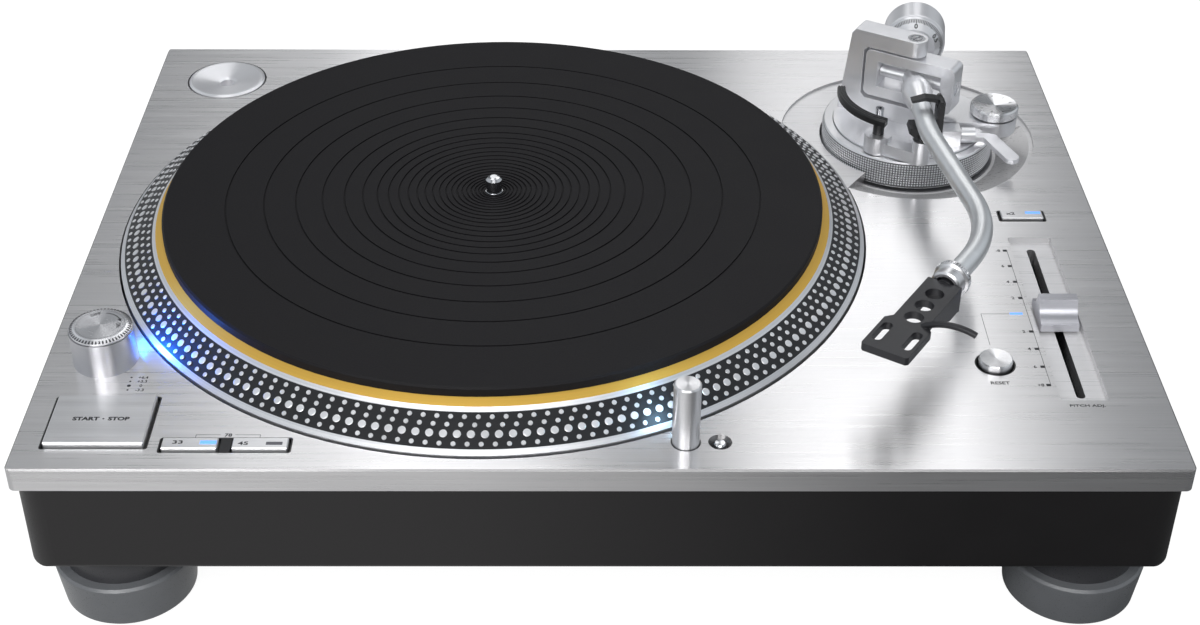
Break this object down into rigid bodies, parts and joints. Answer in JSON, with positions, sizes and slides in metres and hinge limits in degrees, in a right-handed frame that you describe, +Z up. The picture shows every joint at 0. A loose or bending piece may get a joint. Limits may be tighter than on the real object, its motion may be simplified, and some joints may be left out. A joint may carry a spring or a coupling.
{
  "type": "record turntable",
  "caption": "Direct-drive record turntable: aluminium top plate on a black base with adjustable feet, strobe-edged platter, S-shaped tonearm on a gimbal, pitch fader and start button.",
  "frame": {"origin": "on the floor under the middle of the plinth", "axes": "+X to the right, +Y to the back, +Z up, seen from the front where the start button is"},
  "size_m": [0.453, 0.347, 0.1403],
  "materials": {
    "plate": "brushed along the width",
    "cast": "satin blasted",
    "bright": "turned",
    "tube": "satin",
    "base": "satin",
    "foot": "satin",
    "brass": "turned",
    "rubber": "matt",
    "steel": "polished",
    "black": "matt",
    "lens": "clear",
    "shell": "matt black",
    "copper": "enamelled wire",
    "board": "lacquered",
    "gold": "plated"
  },
  "bodies": {
    "plinth": {"top_plate": "plate", "chassis": "cast", "base_shell": "base", "base_screws": "steel", "start_tray": "black", "speed_tray": "black", "double_tray": "black", "reset_cup": "black", "strobe_housing": "bright", "strobe_lens": "lens", "lamp_sleeve": "black", "fader_track": "black", "motor_stator": "copper", "bearing_housing": "steel", "control_board": "board", "power_supply": "board", "arm_flange": "bright", "terminal_panel": "black", "phono_jacks": "gold", "ground_post": "steel", "power_inlet": "black"},
    "platter": {"platter": "bright", "brass_plate": "brass", "mat": "rubber", "spindle": "steel", "rotor": "steel", "platter_screws": "steel"},
    "adapter": {"adapter_45": "bright"},
    "power_switch": {"power_knob": "bright"},
    "start": {"start_button": "bright"},
    "speed_33": {"button_33": "bright"},
    "speed_45": {"button_45": "bright"},
    "lamp_push": {"lamp_button": "bright"},
    "reset": {"reset_button": "bright"},
    "pitch_range": {"double_button": "bright"},
    "lamp": {"stylus_lamp": "bright", "lamp_lens": "lens"},
    "pitch": {"fader_knob": "bright", "fader_carriage": "black"},
    "height_ring": {"height_ring": "bright"},
    "arm_base": {"arm_base_plate": "cast", "yoke": "cast", "arm_screws": "steel", "arm_rest": "black"},
    "antiskate": {"antiskate_dial": "bright"},
    "cue": {"cue_lever": "bright"},
    "lift": {"lift_bar": "black"},
    "clip": {"rest_clip": "black"},
    "gimbal": {"gimbal_frame": "cast", "gimbal_screws": "steel"},
    "arm": {"arm_tube": "tube", "arm_axle": "cast", "headshell": "shell"},
    "collar": {"lock_collar": "bright"},
    "weight": {"counterweight": "bright"},
    "pressure": {"pressure_dial": "bright"},
    "foot_fl": {"foot_front_left": "foot"},
    "foot_fr": {"foot_front_right": "foot"},
    "foot_bl": {"foot_back_left": "foot"},
    "foot_br": {"foot_back_right": "foot"}
  },
  "joints": [
    {"name": "platter_spin", "type": "hinge", "parent": "plinth", "child": "platter", "pos_m": [-0.0473, 0, 0.0883], "axis": [0, 0, 1], "continuous": true},
    {"name": "adapter_lift", "type": "slide", "parent": "plinth", "child": "adapter", "axis": [0, 0, 1], "range_m": [0, 0.03]},
    {"name": "power_turn", "type": "hinge", "parent": "plinth", "child": "power_switch", "pos_m": [-0.202, -0.1027, 0.0883], "axis": [0, 0, 1], "range_deg": [0, 40]},
    {"name": "start_press", "type": "slide", "parent": "plinth", "child": "start", "axis": [0, 0, -1], "range_m": [0, 0.0015], "stiffness_N_per_m": 600, "springref_m": -0.002},
    {"name": "speed_33_press", "type": "slide", "parent": "plinth", "child": "speed_33", "axis": [0, 0, -1], "range_m": [0, 0.0015], "stiffness_N_per_m": 600, "springref_m": -0.002},
    {"name": "speed_45_press", "type": "slide", "parent": "plinth", "child": "speed_45", "axis": [0, 0, -1], "range_m": [0, 0.0015], "stiffness_N_per_m": 600, "springref_m": -0.002},
    {"name": "lamp_press", "type": "slide", "parent": "plinth", "child": "lamp_push", "axis": [0, 0, -1], "range_m": [0, 0.001], "stiffness_N_per_m": 600, "springref_m": -0.002},
    {"name": "reset_press", "type": "slide", "parent": "plinth", "child": "reset", "axis": [0, 0, -1], "range_m": [0, 0.0015], "stiffness_N_per_m": 600, "springref_m": -0.002},
    {"name": "pitch_range_press", "type": "slide", "parent": "plinth", "child": "pitch_range", "axis": [0, 0, -1], "range_m": [0, 0.0015], "stiffness_N_per_m": 600, "springref_m": -0.002},
    {"name": "lamp_slide", "type": "slide", "parent": "plinth", "child": "lamp", "axis": [0, 0, 1], "range_m": [-0.0284, 0], "stiffness_N_per_m": 25, "springref_m": 0.02},
    {"name": "pitch_slide", "type": "slide", "parent": "plinth", "child": "pitch", "axis": [0, -1, 0], "range_m": [-0.049, 0.049]},
    {"name": "height_turn", "type": "hinge", "parent": "plinth", "child": "height_ring", "pos_m": [0.1505, 0.084, 0.0883], "axis": [0, 0, 1], "range_deg": [0, 270]},
    {"name": "height_rise", "type": "slide", "parent": "plinth", "child": "arm_base", "axis": [0, 0, 1], "range_m": [0, 0.006]},
    {"name": "antiskate_turn", "type": "hinge", "parent": "arm_base", "child": "antiskate", "pos_m": [0.19032, 0.07777, 0.0883], "axis": [0, 0, 1], "range_deg": [0, 240]},
    {"name": "cue_turn", "type": "hinge", "parent": "arm_base", "child": "cue", "pos_m": [0.172, 0.062, 0.1003], "axis": [-1, 0, 0], "range_deg": [0, 60]},
    {"name": "lift_rise", "type": "slide", "parent": "arm_base", "child": "lift", "axis": [0, 0, 1], "range_m": [0, 0.0043]},
    {"name": "clip_open", "type": "hinge", "parent": "arm_base", "child": "clip", "pos_m": [0.1578, 0.047, 0.1261], "axis": [0, 1, 0], "range_deg": [0, 100]},
    {"name": "arm_swing", "type": "hinge", "parent": "arm_base", "child": "gimbal", "pos_m": [0.1505, 0.084, 0.1193], "axis": [0, 0, 1], "range_deg": [-46, 0]},
    {"name": "arm_tilt", "type": "hinge", "parent": "gimbal", "child": "arm", "pos_m": [0.1505, 0.084, 0.1193], "axis": [-0.8616, 0.5075, 0], "range_deg": [0, 4]},
    {"name": "collar_turn", "type": "hinge", "parent": "arm", "child": "collar", "pos_m": [0.15184, -0.07498, 0.1193], "axis": [-0.5446, -0.8387, 0], "range_deg": [0, 90]},
    {"name": "weight_turn", "type": "hinge", "parent": "arm", "child": "weight", "pos_m": [0.1505, 0.084, 0.1193], "axis": [0.1564, 0.9877, 0], "continuous": true},
    {"name": "pressure_turn", "type": "hinge", "parent": "weight", "child": "pressure", "pos_m": [0.1505, 0.084, 0.1193], "axis": [0.1564, 0.9877, 0], "continuous": true},
    {"name": "foot_fl_turn", "type": "hinge", "parent": "plinth", "child": "foot_fl", "pos_m": [-0.196, -0.1395, 0], "axis": [0, 0, 1], "continuous": true},
    {"name": "foot_fr_turn", "type": "hinge", "parent": "plinth", "child": "foot_fr", "pos_m": [0.196, -0.1395, 0], "axis": [0, 0, 1], "continuous": true},
    {"name": "foot_bl_turn", "type": "hinge", "parent": "plinth", "child": "foot_bl", "pos_m": [-0.196, 0.1395, 0], "axis": [0, 0, 1], "continuous": true},
    {"name": "foot_br_turn", "type": "hinge", "parent": "plinth", "child": "foot_br", "pos_m": [0.196, 0.1395, 0], "axis": [0, 0, 1], "continuous": true}
  ],
  "couplings": [
    {"joint": "height_rise", "follows": "height_turn", "m_per_rad": 0.00127},
    {"joint": "cue_turn", "follows": "lift_rise", "rad_per_m": 243.5}
  ]
}
